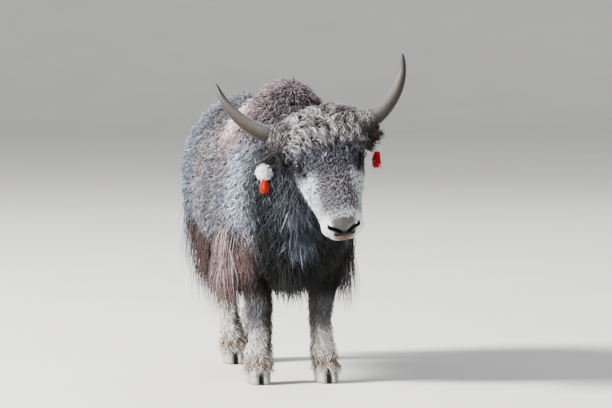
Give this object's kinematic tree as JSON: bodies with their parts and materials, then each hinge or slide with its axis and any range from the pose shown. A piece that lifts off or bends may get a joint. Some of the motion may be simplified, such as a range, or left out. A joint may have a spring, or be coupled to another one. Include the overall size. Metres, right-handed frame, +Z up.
{
  "type": "yak",
  "caption": "Standing domestic yak with a high hump, upswept horns, curly poll, long flank skirt and wool tassels in its ears.",
  "frame": {"origin": "on the floor, under the middle of the box round the whole animal", "axes": "+Z up, the animal faces -Y, its left side is at +X"},
  "size_m": [0.7202, 1.6534, 1.2373],
  "materials": {
    "grey_wool": "woolly grey coat with pinkish brown on the saddle and skirt",
    "dark_wool": "near-black hair",
    "horn_sheath": "smooth grey-brown horn, satin",
    "hoof_horn": "pale grey hoof",
    "eye_wet": "wet dark brown",
    "white_wool": "white wool ball",
    "orange_yarn": "orange-red yarn",
    "red_yarn": "red yarn"
  },
  "bodies": {
    "root": {"torso": "grey_wool", "neck": "grey_wool", "head": "grey_wool", "tail": "grey_wool", "foreleg_left": "grey_wool", "foreleg_right": "grey_wool", "hind_leg_left": "grey_wool", "hind_leg_right": "grey_wool", "ear_left": "dark_wool", "ear_right": "dark_wool", "eye_left": "eye_wet", "eye_right": "eye_wet", "horn_left": "horn_sheath", "horn_right": "horn_sheath", "tassel_wool_left": "white_wool", "tassel_wool_right": "white_wool", "tassel_yarn_left": "red_yarn", "tassel_yarn_right": "orange_yarn", "claw_foreleg_left_inner": "hoof_horn", "claw_foreleg_left_outer": "hoof_horn", "claw_foreleg_right_inner": "hoof_horn", "claw_foreleg_right_outer": "hoof_horn", "claw_hind_leg_left_inner": "hoof_horn", "claw_hind_leg_left_outer": "hoof_horn", "claw_hind_leg_right_inner": "hoof_horn", "claw_hind_leg_right_outer": "hoof_horn", "dewclaw_foreleg_left_inner": "hoof_horn", "dewclaw_foreleg_left_outer": "hoof_horn", "dewclaw_foreleg_right_inner": "hoof_horn", "dewclaw_foreleg_right_outer": "hoof_horn", "dewclaw_hind_leg_left_inner": "hoof_horn", "dewclaw_hind_leg_left_outer": "hoof_horn", "dewclaw_hind_leg_right_inner": "hoof_horn", "dewclaw_hind_leg_right_outer": "hoof_horn"}
  },
  "joints": []
}
